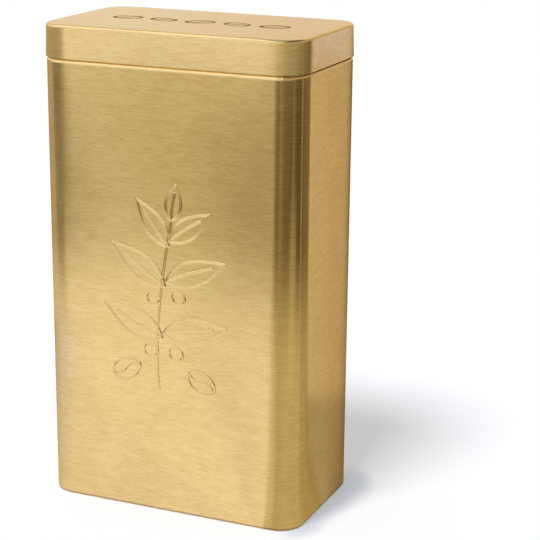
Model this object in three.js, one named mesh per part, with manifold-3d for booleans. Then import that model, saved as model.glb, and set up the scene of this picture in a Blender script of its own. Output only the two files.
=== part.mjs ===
// A rectangular coffee canister of brushed, gold-lacquered sheet metal with a slip-over lid.
// Millimetres, +Z up. The origin is the middle of the underside; the front faces -Y.
//
// Every piece is pressed or rolled from sheet, so each one is a thin profile carried round the same
// rounded rectangle. A profile point is (inset, height): inset is how far the point lies inside the
// wall's outer face, and a negative inset lies outside it.
import * as THREE from 'three';
import { mergeVertices } from 'three/addons/utils/BufferGeometryUtils.js';
import Module from 'manifold-3d';

// Wall: a sleeve closed by a lock seam down the middle of the back
const WIDTH = 108;
const DEPTH = 62;
const CORNER_RADIUS = 10;
const SHOULDER_HEIGHT = 176.9;
const WALL_SHEET = 0.4;
const FOOT_BEND = 0.4;
const FOOT_FLANGE = 3;
const SEAM_WIDTH = 6;
const SEAM_FOLD = 0.8;
const SEAM_END_GAP = 1;

// Lid: a drawn cap, slightly wider than the wall, with its raw edge folded flat inside
const LID_HEIGHT = 12.7;
const LID_GAP = 0.4;
const LID_OVERHANG = 0.25;
const LID_SHEET = 0.4;
const LID_EDGE_BEND = 1.4;
const LID_HEM = 3;
const LID_FIT = 0.4;

// Liner: a foam pad stuck under the lid, which closes on the rim of the collar
const LINER_THICKNESS = 1.2;
const LINER_FIT = 0.1;
const LINER_GAP = 0.3;

// Collar: a stepped ring fixed inside the mouth, which the lid slips over
const COLLAR_SHEET = 0.4;
const COLLAR_SKIRT = 10;
const COLLAR_FIT = 0.05;
const COLLAR_STEP = 1;
const COLLAR_STEP_GAP = 0.2;
const SHOULDER_FIT = 0.05;
const RIM_RADIUS = 1.2;
const RIM_DROP = 0.8;

// Base: a shallow tray on the wall's foot flange, bedded on a ring of sealing compound
const BASE_SHEET = 0.4;
const BASE_FIT = 0.1;
const BASE_BEND = 0.5;
const BASE_RIM = 6;
const BASE_FOOT = 2.4;
const PANEL_RISE = 2;
const PANEL_SLOPE = 1.2;
const SEAL_THICKNESS = 0.3;
const SEAL_WIDTH = 1.8;
const SEAL_FIT = 0.1;

// Facets of a wall corner (in half steps) and of a quarter turn of a sheet bend
const CORNER_STEPS = 4;
const BEND_STEPS = 4;

// Insets and heights that follow from the sizes above
const lidOutside = -LID_OVERHANG;
const lidInside = lidOutside + LID_SHEET;
const hemInside = lidInside + LID_SHEET;
const lidEdgeRadius = LID_EDGE_BEND + LID_SHEET;
const lidCeiling = LID_HEIGHT - LID_SHEET;
const linerUnderside = lidCeiling - LINER_THICKNESS;
const lidSeat = SHOULDER_HEIGHT + LID_GAP;

const neckOutside = hemInside + LID_FIT;
const neckInside = neckOutside + COLLAR_SHEET;
const shoulderRadius = neckOutside - SHOULDER_FIT;
const skirtOutside = WALL_SHEET + COLLAR_FIT;
const skirtInside = skirtOutside + COLLAR_SHEET;
const stepTop = SHOULDER_HEIGHT - shoulderRadius - COLLAR_STEP_GAP;
const stepBottom = stepTop - COLLAR_STEP;
const collarBottom = stepBottom - COLLAR_SKIRT;
const rimTop = lidSeat + linerUnderside - LINER_GAP;

const footRadius = FOOT_BEND + WALL_SHEET;
const baseBottom = WALL_SHEET + SEAL_THICKNESS;
const baseOutside = WALL_SHEET + BASE_FIT;
const baseInside = baseOutside + BASE_SHEET;
const baseTop = baseBottom + BASE_RIM;

// Directions in a profile, as angles: inwards, up, outwards and down
const INWARDS = 0;
const UP = Math.PI / 2;
const OUTWARDS = Math.PI;
const DOWN = -Math.PI / 2;
const QUARTER_TURN = Math.PI / 2;

const wasm = await Module();
wasm.setup();

function point(inset, height) {
  return new THREE.Vector2(inset, height);
}

// The points of a sheet bend, from one direction through a sweep, about its centre.
function bend(inset, height, radius, start, sweep) {
  const steps = Math.round(Math.abs(sweep) / QUARTER_TURN) * BEND_STEPS;
  const points = [];
  for (let i = 0; i <= steps; i += 1) {
    const angle = start + (sweep * i) / steps;
    points.push(point(inset + radius * Math.cos(angle), height + radius * Math.sin(angle)));
  }
  return points;
}

// The rounded rectangle that lies `inset` inside the wall's outer face, counter-clockwise from above.
function outline(inset) {
  const radius = CORNER_RADIUS - inset;
  const x = WIDTH / 2 - CORNER_RADIUS;
  const y = DEPTH / 2 - CORNER_RADIUS;
  const shape = new THREE.Shape();
  shape.absarc(x, y, radius, 0, QUARTER_TURN);
  shape.absarc(-x, y, radius, QUARTER_TURN, 2 * QUARTER_TURN);
  shape.absarc(-x, -y, radius, 2 * QUARTER_TURN, 3 * QUARTER_TURN);
  shape.absarc(x, -y, radius, 3 * QUARTER_TURN, 4 * QUARTER_TURN);
  return shape.getPoints(CORNER_STEPS);
}

// Carries a profile round the rounded rectangle. Profiles run up the outside and down the inside.
// A ring's profile closes on itself; a plate's ends in a flat face below and a flat face above.
function carryRound(profile, isPlate) {
  const rings = profile.map((corner) => outline(corner.x));
  const count = rings[0].length;
  const positions = [];
  rings.forEach((ring, level) => {
    ring.forEach((corner) => positions.push(corner.x, corner.y, profile[level].y));
  });

  const faces = [];
  const strips = isPlate ? rings.length - 1 : rings.length;
  for (let level = 0; level < strips; level += 1) {
    const lower = level * count;
    const upper = ((level + 1) % rings.length) * count;
    for (let i = 0; i < count; i += 1) {
      const next = (i + 1) % count;
      faces.push(lower + i, lower + next, upper + next);
      faces.push(lower + i, upper + next, upper + i);
    }
  }
  if (isPlate) {
    const last = (rings.length - 1) * count;
    THREE.ShapeUtils.triangulateShape(rings[0], []).forEach(([a, b, c]) => faces.push(a, c, b));
    THREE.ShapeUtils.triangulateShape(rings.at(-1), []).forEach(([a, b, c]) => {
      faces.push(last + a, last + b, last + c);
    });
  }

  const geometry = new THREE.BufferGeometry();
  geometry.setAttribute('position', new THREE.Float32BufferAttribute(positions, 3));
  geometry.setIndex(faces);
  return geometry;
}

function ring(profile) {
  return carryRound(profile, false);
}

function plate(profile) {
  return carryRound(profile, true);
}

function toSolid(geometry) {
  const bare = geometry.clone();
  bare.deleteAttribute('normal');
  bare.deleteAttribute('uv');
  const merged = mergeVertices(bare);
  return new wasm.Manifold(new wasm.Mesh({
    numProp: 3,
    vertProperties: new Float32Array(merged.attributes.position.array),
    triVerts: new Uint32Array(merged.index.array),
  }));
}

function fromSolid(solid) {
  const mesh = solid.getMesh();
  const geometry = new THREE.BufferGeometry();
  geometry.setAttribute('position', new THREE.BufferAttribute(mesh.vertProperties, 3));
  geometry.setIndex(new THREE.BufferAttribute(mesh.triVerts, 1));
  return geometry;
}

// The sleeve: turned in at the foot to carry the base, and rolled in at the shoulder to meet the collar.
function wallGeometry() {
  const shoulderCentre = SHOULDER_HEIGHT - shoulderRadius;
  const sleeve = ring([
    point(FOOT_FLANGE, 0),
    ...bend(footRadius, footRadius, footRadius, DOWN, -QUARTER_TURN),
    ...bend(shoulderRadius, shoulderCentre, shoulderRadius, OUTWARDS, -QUARTER_TURN),
    ...bend(shoulderRadius, shoulderCentre, shoulderRadius - WALL_SHEET, UP, QUARTER_TURN),
    ...bend(footRadius, footRadius, FOOT_BEND, OUTWARDS, QUARTER_TURN),
    point(FOOT_FLANGE, WALL_SHEET),
  ]);

  // The folds of the lock seam stand proud on the inside, between the base tray and the collar.
  const seamBottom = baseTop + SEAM_END_GAP;
  const seamTop = collarBottom - SEAM_END_GAP;
  const seamDepth = SEAM_FOLD + WALL_SHEET / 2;
  const seam = new THREE.BoxGeometry(SEAM_WIDTH, seamDepth, seamTop - seamBottom);
  const seamBack = DEPTH / 2 - WALL_SHEET / 2;
  seam.translate(0, seamBack - seamDepth / 2, (seamTop + seamBottom) / 2);
  return fromSolid(toSolid(sleeve).add(toSolid(seam)));
}

// The collar: a skirt against the wall, a step in under the shoulder, a neck and a curled rim.
function collarGeometry() {
  const curlInset = neckOutside + RIM_RADIUS;
  const curlHeight = rimTop - RIM_RADIUS;
  const curlEnd = neckOutside + 2 * RIM_RADIUS;
  return ring([
    point(skirtOutside, collarBottom),
    point(skirtOutside, stepBottom),
    point(neckOutside, stepTop),
    ...bend(curlInset, curlHeight, RIM_RADIUS, OUTWARDS, -2 * QUARTER_TURN),
    point(curlEnd, curlHeight - RIM_DROP),
    point(curlEnd - COLLAR_SHEET, curlHeight - RIM_DROP),
    ...bend(curlInset, curlHeight, RIM_RADIUS - COLLAR_SHEET, INWARDS, 2 * QUARTER_TURN),
    point(neckInside, stepTop),
    point(skirtInside, stepBottom),
    point(skirtInside, collarBottom),
  ]);
}

// The base: a tray with an upright rim, a flat foot on the seal and a raised middle panel.
function baseGeometry() {
  const heelRadius = BASE_BEND + BASE_SHEET;
  const heelInset = baseOutside + heelRadius;
  const heelHeight = baseBottom + heelRadius;
  const footEnd = baseOutside + BASE_FOOT;
  const panelEdge = footEnd + PANEL_SLOPE;
  const panelUnderside = baseBottom + PANEL_RISE;
  return plate([
    point(panelEdge, panelUnderside),
    point(footEnd, baseBottom),
    ...bend(heelInset, heelHeight, heelRadius, DOWN, -QUARTER_TURN),
    point(baseOutside, baseTop),
    point(baseInside, baseTop),
    ...bend(heelInset, heelHeight, BASE_BEND, OUTWARDS, QUARTER_TURN),
    point(footEnd, baseBottom + BASE_SHEET),
    point(panelEdge, panelUnderside + BASE_SHEET),
  ]);
}

// The seal: a flat ring of compound between the wall's foot flange and the base.
function sealGeometry() {
  const sealOutside = footRadius + SEAL_FIT;
  const sealInside = sealOutside + SEAL_WIDTH;
  return ring([
    point(sealOutside, WALL_SHEET),
    point(sealOutside, baseBottom),
    point(sealInside, baseBottom),
    point(sealInside, WALL_SHEET),
  ]);
}

// The lid, with its lower edge at height zero: inside face first, round the hem, then the outside.
function lidGeometry() {
  const edgeInset = lidOutside + lidEdgeRadius;
  const edgeHeight = LID_HEIGHT - lidEdgeRadius;
  return plate([
    ...bend(edgeInset, edgeHeight, LID_EDGE_BEND, UP, QUARTER_TURN),
    point(lidInside, LID_HEM),
    point(hemInside, LID_HEM),
    ...bend(lidInside, LID_SHEET, LID_SHEET, INWARDS, -2 * QUARTER_TURN),
    ...bend(edgeInset, edgeHeight, lidEdgeRadius, OUTWARDS, -QUARTER_TURN),
  ]);
}

// The liner, in the lid's own heights: a flat pad that stops short of the lid's rounded inner edge.
function linerGeometry() {
  const linerInset = lidInside + LID_EDGE_BEND + LINER_FIT;
  return plate([point(linerInset, linerUnderside), point(linerInset, lidCeiling)]);
}

function piece(name, geometry, color, roughness, metalness) {
  const material = new THREE.MeshStandardMaterial({ color, roughness, metalness });
  const mesh = new THREE.Mesh(geometry, material);
  mesh.name = name;
  return mesh;
}

const GOLD_LACQUER = 0xc9a86a;
const BARE_TIN = 0xb9bab8;
const LINER_WHITE = 0xe9e6df;
const SEAL_GREY = 0x6f7276;

const body = new THREE.Group();
body.add(piece('body_wall', wallGeometry(), GOLD_LACQUER, 0.35, 1));
body.add(piece('neck_collar', collarGeometry(), BARE_TIN, 0.3, 1));
body.add(piece('base_panel', baseGeometry(), BARE_TIN, 0.35, 1));
body.add(piece('base_seal', sealGeometry(), SEAL_GREY, 0.8, 0));

const lid = new THREE.Group();
lid.position.z = lidSeat;
lid.add(piece('lid_cap', lidGeometry(), GOLD_LACQUER, 0.35, 1));
lid.add(piece('lid_liner', linerGeometry(), LINER_WHITE, 0.9, 0));

const canister = new THREE.Group();
canister.add(body, lid);

export default canister;
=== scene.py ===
# %% [markdown]
# # A brushed gold coffee canister
#
# The canister is a tall tin with rounded corners and a lid that slips over a collar inside its
# mouth. Every piece is pressed or rolled from thin sheet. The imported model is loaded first: it
# fixes where each piece sits and how the lid moves, and the meshes made below are finer versions of
# its solids.

import math

import bpy
import numpy as np
from mathutils import Matrix, Vector
from mathutils.geometry import delaunay_2d_cdt


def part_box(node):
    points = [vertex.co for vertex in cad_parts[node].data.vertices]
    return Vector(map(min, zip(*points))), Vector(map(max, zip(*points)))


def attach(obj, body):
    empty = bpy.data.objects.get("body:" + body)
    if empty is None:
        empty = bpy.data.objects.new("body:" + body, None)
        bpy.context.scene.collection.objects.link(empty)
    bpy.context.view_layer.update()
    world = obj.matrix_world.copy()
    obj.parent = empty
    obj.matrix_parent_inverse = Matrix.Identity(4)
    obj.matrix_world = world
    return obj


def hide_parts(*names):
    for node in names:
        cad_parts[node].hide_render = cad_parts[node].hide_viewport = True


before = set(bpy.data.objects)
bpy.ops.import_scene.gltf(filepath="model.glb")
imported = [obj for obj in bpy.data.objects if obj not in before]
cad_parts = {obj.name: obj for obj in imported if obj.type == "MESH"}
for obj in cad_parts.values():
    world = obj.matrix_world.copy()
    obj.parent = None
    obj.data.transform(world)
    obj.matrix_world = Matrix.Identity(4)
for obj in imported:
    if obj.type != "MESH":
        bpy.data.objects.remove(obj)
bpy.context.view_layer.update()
print("frame pieces:", sorted(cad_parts))

# %% [markdown]
# ## The sizes
#
# The outside sizes are read from the frame's boxes, so the meshes can't drift away from the solids.
# Only the sizes that a box doesn't show are written down here, such as the sheet's thickness and
# the radius of its bends.

# %% Read the sizes from the frame
MM = 0.001
SHEET = 0.4 * MM
CORNER_RADIUS = 10 * MM

_, wall_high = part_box("body_wall")
lid_low, lid_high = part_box("lid_cap")
collar_low, collar_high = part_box("neck_collar")
base_low, base_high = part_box("base_panel")
seal_low, seal_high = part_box("base_seal")
liner_low, liner_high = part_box("lid_liner")

half_width = wall_high.x
half_depth = wall_high.y
flat_half_width = half_width - CORNER_RADIUS
flat_half_depth = half_depth - CORNER_RADIUS


def inset_of(piece_high):
    """How far a piece's outside lies inside the wall's outer face."""
    return half_width - piece_high.x


print(f"wall {2 * half_width:.4f} x {2 * half_depth:.4f} m, shoulder at {wall_high.z:.4f} m")
print(f"lid from {lid_low.z:.4f} to {lid_high.z:.4f} m, inset {inset_of(lid_high):.5f} m")

# %% [markdown]
# ## Walking round the tin
#
# All the pieces share one rounded rectangle, seen from above. A walk lists places on it and the
# outward direction at each. A piece that lies deeper inside moves every place straight in along
# that direction, which keeps the layers parallel. A bevelled cube would be quicker, but bent sheet
# has no hard start to its corners: the flat sides begin to turn a few millimetres early. So a
# corner is given as turns along a length of sheet, and its places are found by following the sheet
# round.

# %% The bend of a corner
EASE_LENGTH = 7 * MM
EASE_TURN = 4
EASE_POINTS = 6
TIGHT_RADIUS = 9.5 * MM
BEND_STEP = 0.7 * MM
BEND_NUDGE = 0.12 * MM


def corner_bend(bend_lines=(), flatness=0.0):
    """Lengths along the sheet and the turn at each, in degrees.

    Between bend lines the sheet is partly flat.
    """
    ease = np.linspace(0, 1, EASE_POINTS)
    stations = [(EASE_LENGTH * share, EASE_TURN * share**2) for share in ease]
    lines = (EASE_TURN, *bend_lines, 90 - EASE_TURN)
    for low, high in zip(lines[:-1], lines[1:]):
        start = stations[-1][0]
        length = TIGHT_RADIUS * math.radians(high - low)
        middle = (low + high) / 2
        shares = np.linspace(0, 1, max(2, math.ceil(length / BEND_STEP)) + 1)
        for share in shares[0 if bend_lines else 1 :]:
            even = low + share * (high - low)
            nudge = BEND_NUDGE if bend_lines and share == 0 else 0
            turn = middle + (1 - flatness) * (even - middle)
            stations.append((start + share * length + nudge, turn))
    start = stations[-1][0]
    for share in ease[1:]:
        stations.append((start + EASE_LENGTH * share, 90 - EASE_TURN * (1 - share) ** 2))
    return np.array(stations)


def follow(bent):
    """Places and outward directions round a corner that starts at the origin, heading up."""
    turns = np.radians(bent[:, 1])
    halfway = (turns[1:] + turns[:-1]) / 2
    steps = np.diff(bent[:, 0])[:, None] * np.stack((-np.sin(halfway), np.cos(halfway)), axis=1)
    places = np.concatenate((np.zeros((1, 2)), np.cumsum(steps, axis=0)))
    return places, np.stack((np.cos(turns), np.sin(turns)), axis=1)


smooth_corner = corner_bend()
print("places in a smooth corner:", len(smooth_corner))

# %% Walk round the rounded rectangle
HOLD = 0.25 * MM
SIDES = ("back", "left", "front", "right")
VERTICES = ((1, 1), (-1, 1), (-1, -1), (1, -1))
QUARTER_TURN = np.array(((0, -1), (1, 0)))


def walk_round(bent, extra=None):
    """Places and outward directions, counter-clockwise from above.

    Extra places along a side are given by its name, as distances from the side's middle.
    """
    corner, facing = follow(bent)
    reach_in, reach_out = corner[-1][1], -corner[-1][0]
    places, outward = [], []
    for quarter, (sign_x, sign_y) in enumerate(VERTICES):
        turn = np.linalg.matrix_power(QUARTER_TURN, quarter)
        along, normal = turn @ (-1, 0), turn @ (0, 1)
        vertex = np.array((sign_x * half_width, sign_y * half_depth))
        places.extend(vertex - reach_in * normal + corner @ turn.T)
        outward.extend(facing @ turn.T)
        half_side = half_width if abs(along[0]) else half_depth
        distance_out = half_depth if abs(along[0]) else half_width
        ends = (reach_out - half_side + HOLD, half_side - reach_in - HOLD)
        for stop in sorted({*ends, *(extra or {}).get(SIDES[quarter], ())}):
            places.append(distance_out * normal + stop * along)
            outward.append(normal)
    return np.array(places, float), np.array(outward, float)


plain_walk = walk_round(smooth_corner)
print("places in a plain walk:", len(plain_walk[0]))

# %% [markdown]
# ## Carrying a profile round
#
# A profile is the cut edge of the sheet: points of inset and height that run up the outside and
# down the inside. Carried along a walk it becomes a closed skin with a real thickness, as a rolled
# sheet has. Bends are arcs of points. Each long straight gets a point near both ends, as the sides
# of the walk do, so that smooth shading stays within the bends and the flats stay flat.

# %% Profiles and skins
SHARP_EDGE = math.radians(35)


def bend(inset, height, radius, start, sweep, steps=8, stretch=1.0):
    """Points of a sheet bend about its centre, stretched upwards or flattened.

    Angles are in degrees: 0 inwards, 90 up, 180 outwards, -90 down.
    """
    angles = np.radians(np.linspace(start, start + sweep, steps + 1))
    rise = stretch * radius
    return [(inset + radius * math.cos(a), height + rise * math.sin(a)) for a in angles]


def held(profile, closed):
    """The profile with a point just inside both ends of each long straight."""
    result = []
    last = len(profile) if closed else len(profile) - 1
    for number, point in enumerate(profile):
        result.append(point)
        start = Vector(point)
        step = Vector(profile[(number + 1) % len(profile)]) - start
        if number < last and step.length > 4 * HOLD:
            near = start + step.normalized() * HOLD
            far = start + step - step.normalized() * HOLD
            result += [tuple(near), tuple(far)]
    return result


def carry_round(profile, walk):
    """The grid of points where each profile point passes each place of the walk."""
    places, outward = walk
    rows = np.array(profile)
    level = places[None] - rows[:, 0, None, None] * outward[None]
    heights = np.broadcast_to(rows[:, 1, None, None], level.shape[:2] + (1,))
    return np.concatenate((level, heights), axis=2)


def strips_of(grid, closed):
    """Four-sided faces between neighbouring points of a grid."""
    rows, columns = grid.shape[:2]
    here = np.arange(rows * columns).reshape(rows, columns)
    beside = np.roll(here, -1, axis=1)
    faces = np.stack((here, beside, np.roll(beside, -1, axis=0), np.roll(here, -1, axis=0)), axis=2)
    return faces[: rows if closed else rows - 1].reshape(-1, 4).tolist()


def end_faces(grid):
    """The two faces that close a skin at its first and its last row."""
    rows, columns = grid.shape[:2]
    first = list(range(columns))[::-1]
    last = list(range((rows - 1) * columns, rows * columns))
    return [first, last]


def add_piece(name, points, faces, finishes, face_finish=None):
    """A smooth-shaded mesh object with one or more finishes."""
    mesh = bpy.data.meshes.new(name)
    mesh.from_pydata(points, [], faces)
    for finish in finishes:
        mesh.materials.append(finish)
    if face_finish is not None:
        mesh.polygons.foreach_set("material_index", face_finish)
    mesh.shade_smooth()
    mesh.set_sharp_from_angle(angle=SHARP_EDGE)
    mesh.validate()
    piece = bpy.data.objects.new(name, mesh)
    bpy.context.scene.collection.objects.link(piece)
    print(f"{name}: {len(mesh.vertices)} points, {len(mesh.polygons)} faces")
    return piece


# %% [markdown]
# ## Nodes as arithmetic
#
# A finish is a small sum of patterns, which reads best as Python. `Value` wraps the output of a
# node so that `+`, `-` and `*` add Math nodes, and `Nodes` adds any other node from its type, its
# settings and what goes into its sockets.

# %% Helpers for shader nodes
class Value:
    """A node's output that takes part in arithmetic."""

    def __init__(self, nodes, socket):
        self.nodes = nodes
        self.socket = socket

    def __add__(self, other):
        return self.nodes.maths("ADD", self, other)

    def __sub__(self, other):
        return self.nodes.maths("SUBTRACT", self, other)

    def __mul__(self, other):
        return self.nodes.maths("MULTIPLY", self, other)

    def __rsub__(self, other):
        return self.nodes.maths("SUBTRACT", other, self)

    __radd__ = __add__
    __rmul__ = __mul__


class Nodes:
    """The node tree of a material or of the world."""

    def __init__(self, owner):
        owner.use_nodes = True
        self.tree = owner.node_tree
        self.tree.nodes.clear()

    def add(self, kind, settings=None, sockets=None, output=0):
        """A node of this kind: first its settings, then the values or links of its sockets."""
        node = self.tree.nodes.new(kind)
        for key, setting in (settings or {}).items():
            if key == "stops":
                self.set_stops(node.color_ramp, setting)
            else:
                setattr(node, key, setting)
        for key, given in (sockets or {}).items():
            if isinstance(given, Value):
                self.tree.links.new(given.socket, node.inputs[key])
            else:
                node.inputs[key].default_value = given
        return Value(self, node.outputs[output]) if len(node.outputs) else node

    def set_stops(self, ramp, stops):
        """The colours of a ramp, each with its position."""
        while len(ramp.elements) < len(stops):
            ramp.elements.new(1.0)
        for element, (position, colour) in zip(ramp.elements, stops):
            element.position = position
            element.color = colour

    def maths(self, operation, *values, clamp=False):
        settings = {"operation": operation, "use_clamp": clamp}
        return self.add("ShaderNodeMath", settings, dict(enumerate(values)))

    def mix(self, factor, first, second):
        """A colour between two colours."""
        sockets = {0: factor, 6: first, 7: second}
        return self.add("ShaderNodeMix", {"data_type": "RGBA"}, sockets, output=2)

    def parts(self, vector):
        """The X, Y and Z of a vector."""
        return [self.add("ShaderNodeSeparateXYZ", {}, {0: vector}, output=axis) for axis in "XYZ"]

    def noise(self, place, repeats, detail=2.0):
        """Noise from 0 to 1 with so many repeats per metre along X, Y and Z."""
        settings = {"operation": "MULTIPLY"}
        stretched = self.add("ShaderNodeVectorMath", settings, {0: place, 1: repeats})
        sockets = {"Vector": stretched, "Scale": 1.0, "Detail": detail}
        return self.add("ShaderNodeTexNoise", {}, sockets)

    def bump(self, height, depth, strength):
        """The surface's direction where a pattern raises it."""
        sockets = {"Strength": strength, "Distance": depth, "Height": height}
        return self.add("ShaderNodeBump", {}, sockets, output="Normal")

    def steps(self, value, low, high, to_low=0.0, to_high=1.0):
        """The value eased from one range into another."""
        sockets = {"Value": value, "From Min": low, "From Max": high}
        sockets |= {"To Min": to_low, "To Max": to_high}
        return self.add("ShaderNodeMapRange", {"interpolation_type": "SMOOTHSTEP"}, sockets)

    def band(self, value, rise, fall):
        """1 between two edges, eased over each of them to 0."""
        return self.steps(value, *rise) - self.steps(value, *fall)

    def beyond(self, value, low, high):
        """How far a value lies outside a range: 0 inside it, less than 0 below it."""
        over = self.maths("MAXIMUM", value, high)
        return over + self.maths("MINIMUM", value, low) - high - low

    def distance(self, first, second):
        """The length of a step that goes so far in two directions."""
        return self.maths("SQRT", first * first + second * second)

    def principled(self, sockets):
        return self.add("ShaderNodeBsdfPrincipled", {}, sockets)

    def glow(self, colour, strength=1.0):
        return self.add("ShaderNodeEmission", {}, {"Color": colour, "Strength": strength})

    def blend(self, factor, first, second):
        """A shader between two shaders."""
        return self.add("ShaderNodeMixShader", {}, {0: factor, 1: first, 2: second})

    def surface(self, shader):
        self.add("ShaderNodeOutputMaterial", {}, {"Surface": shader})


def new_finish(name):
    material = bpy.data.materials.new(name)
    nodes = Nodes(material)
    place = nodes.add("ShaderNodeTexCoord", output="Object")
    return material, nodes, place


# %% [markdown]
# ## Brushed gold lacquer
#
# The steel is brushed in fine level strokes and coated with clear gold lacquer. Brushing does two
# things: it leaves short streaks, and it spreads a reflection across the strokes but hardly along
# them. The streaks are noise stretched along the sheet, in the colour, the roughness and a slight
# bump, with wider bands, faint clouds and a few bright glints among them. The spread is the
# shader's own anisotropy, turned a quarter so that reflections stay crisp sideways and run up and
# down the wall.

# %% Brushed gold
GOLD_DEEP = (0.745, 0.53, 0.233, 1)
GOLD_PALE = (0.915, 0.69, 0.352, 1)
GOLD_EDGE = (0.90, 0.77, 0.54, 1)
GOLD_GLINT = (0.96, 0.82, 0.55, 1)
# The darker gold below is for the bean grooves on the lid: painted shade in the grooves.
GROOVE_SHADE_DEEP = (0.20, 0.13, 0.045, 1)
GROOVE_SHADE_PALE = (0.34, 0.23, 0.09, 1)
STROKE, STROKE_ACROSS = 200, 2500
HAIR, HAIR_ACROSS = 480, 4800
BAND, BAND_ACROSS = 90, 420
GLINT, GLINT_ACROSS = 900, 3200
CLOUD = 60
GOLD_RANGE = (0.34, 0.66)
GLINT_RANGE = (0.64, 0.74)
GLINT_SHARE = 0.8
BRUSH_DEPTH = 0.01 * MM
BRUSH_STRENGTH = 0.4
ROUGH_RANGE = 0.08


def brushed_gold(name, lie, anisotropy, deep=GOLD_DEEP, pale=GOLD_PALE, rough=0.05):
    """Gold lacquer brushed at right angles to one axis, across which the streaks are narrow."""

    def repeats(along, across):
        return tuple(across if axis == lie else along for axis in "XYZ")

    material, nodes, place = new_finish(name)
    streak = nodes.noise(place, repeats(STROKE, STROKE_ACROSS), detail=3.0)
    hair = nodes.noise(place, repeats(HAIR, HAIR_ACROSS))
    band = nodes.noise(place, repeats(BAND, BAND_ACROSS))
    cloud = nodes.noise(place, (CLOUD, CLOUD, CLOUD))
    tone = 0.42 * streak + 0.26 * hair + 0.18 * band + 0.14 * cloud
    glint = nodes.steps(nodes.noise(place, repeats(GLINT, GLINT_ACROSS)), *GLINT_RANGE)
    colour = nodes.mix(nodes.steps(tone, *GOLD_RANGE), deep, pale)
    colour = nodes.mix(GLINT_SHARE * glint, colour, GOLD_GLINT)
    sockets = {
        "Base Color": colour,
        "Metallic": 1.0,
        "Specular Tint": GOLD_EDGE,
        "Roughness": rough + ROUGH_RANGE * tone,
        "Anisotropic": anisotropy,
        "Anisotropic Rotation": 0.25,
        "Normal": nodes.bump(0.6 * streak + 0.4 * hair, BRUSH_DEPTH, BRUSH_STRENGTH),
    }
    nodes.surface(nodes.principled(sockets))
    return material


wall_gold = brushed_gold("wall_gold", "Z", anisotropy=0.9)
lid_top_gold = brushed_gold("lid_top_gold", "Y", anisotropy=0.0)
# The bean grooves get a darker, rougher gold than the lid around them: painted shade.
groove_shade_gold = brushed_gold(
    "groove_shade_gold", "Y", anisotropy=0.0, deep=GROOVE_SHADE_DEEP, pale=GROOVE_SHADE_PALE, rough=0.3
)
print("finishes:", wall_gold.name, lid_top_gold.name, groove_shade_gold.name)

# %% [markdown]
# ## Tin, foam and sealing compound
#
# Inside, the sheet is plain tinplate: bright, faintly cloudy and marked with rolling lines. The
# liner is closed-cell foam with a fine skin, and the seal is a soft grey compound. Each gets its
# own small pattern in colour, roughness and bump.

# %% The finishes inside
TIN_DULL = (0.70, 0.695, 0.67, 1)
TIN_BRIGHT = (0.88, 0.875, 0.85, 1)
TIN_ROLLING = (60, 60, 900)
TIN_CLOUD = (90, 90, 90)
FOAM_SHADED = (0.72, 0.71, 0.68, 1)
FOAM_LIGHT = (0.84, 0.83, 0.80, 1)
COMPOUND_DARK = (0.13, 0.135, 0.14, 1)
COMPOUND_LIGHT = (0.19, 0.195, 0.2, 1)
TONE_RANGE = (0.3, 0.7)
PATCH_CELLS = 12


def bare_tin():
    material, nodes, place = new_finish("bare_tin")
    rolling = nodes.noise(place, TIN_ROLLING, detail=3.0)
    cloud = nodes.noise(place, TIN_CLOUD, detail=4.0)
    tone = 0.5 * rolling + 0.5 * cloud
    sockets = {
        "Base Color": nodes.mix(nodes.steps(tone, *TONE_RANGE), TIN_DULL, TIN_BRIGHT),
        "Metallic": 1.0,
        "Roughness": 0.22 + 0.2 * tone,
        "Normal": nodes.bump(rolling, depth=0.01 * MM, strength=0.2),
    }
    nodes.surface(nodes.principled(sockets))
    return material


def soft_finish(name, dark, light, cell, depth, rough):
    """A matt finish with a fine cell pattern: colour, roughness and bump vary with the cells."""
    material, nodes, place = new_finish(name)
    patch = cell / PATCH_CELLS
    cells = nodes.noise(place, (cell, cell, cell), detail=4.0)
    patches = nodes.noise(place, (patch, patch, patch))
    tone = 0.5 * cells + 0.5 * patches
    sockets = {
        "Base Color": nodes.mix(nodes.steps(tone, *TONE_RANGE), dark, light),
        "Roughness": rough + 0.15 * cells,
        "Normal": nodes.bump(cells, depth, strength=0.4),
    }
    nodes.surface(nodes.principled(sockets))
    return material


tin = bare_tin()
foam = soft_finish("liner_foam", FOAM_SHADED, FOAM_LIGHT, cell=1800, depth=0.08 * MM, rough=0.75)
compound = soft_finish(
    "seal_compound", COMPOUND_DARK, COMPOUND_LIGHT, cell=1200, depth=0.05 * MM, rough=0.6
)
print("finishes:", tin.name, foam.name, compound.name)

# %% [markdown]
# ## The raised sprig
#
# The front carries a thin line ornament: a coffee sprig with leaves, cherries and two beans,
# pressed up from behind. A curve laid on the wall would look like wire, and a bump alone would
# vanish in the exported mesh. So the strokes are drawn as curves in the plane of the front, in
# millimetres from the sprig's middle, and the wall's own points are later moved out where they lie
# on a stroke.

# %% Strokes of the sprig
SPRIG_MIDDLE = 92 * MM
STROKE_HALF_WIDTH = 0.5 * MM
STROKE_HEIGHT = 0.18 * MM
SWELL_EARLY = 0.8
VEIN_LENGTH = 0.78
VEIN_BOW = 0.12
BEAN_WIDTH = 0.66
CREASE_LENGTH = 0.86
CREASE_SWING = 0.16


def bowed(start, end, bow, count=14):
    """A stroke between two points that swells sideways to its left by `bow`."""
    start, end = np.array(start, float), np.array(end, float)
    along = end - start
    left = np.array((-along[1], along[0])) / np.linalg.norm(along)
    share = np.linspace(0, 1, count)[:, None]
    return start + share * along + bow * np.sin(math.pi * share**SWELL_EARLY) * left


def leaf(base, tip, belly):
    """Two bowed edges and a vein that stops short of the tip."""
    base, tip = np.array(base, float), np.array(tip, float)
    edges = [bowed(base, tip, belly), bowed(base, tip, -belly)]
    return [*edges, bowed(base, base + VEIN_LENGTH * (tip - base), VEIN_BOW * belly)]


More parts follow.
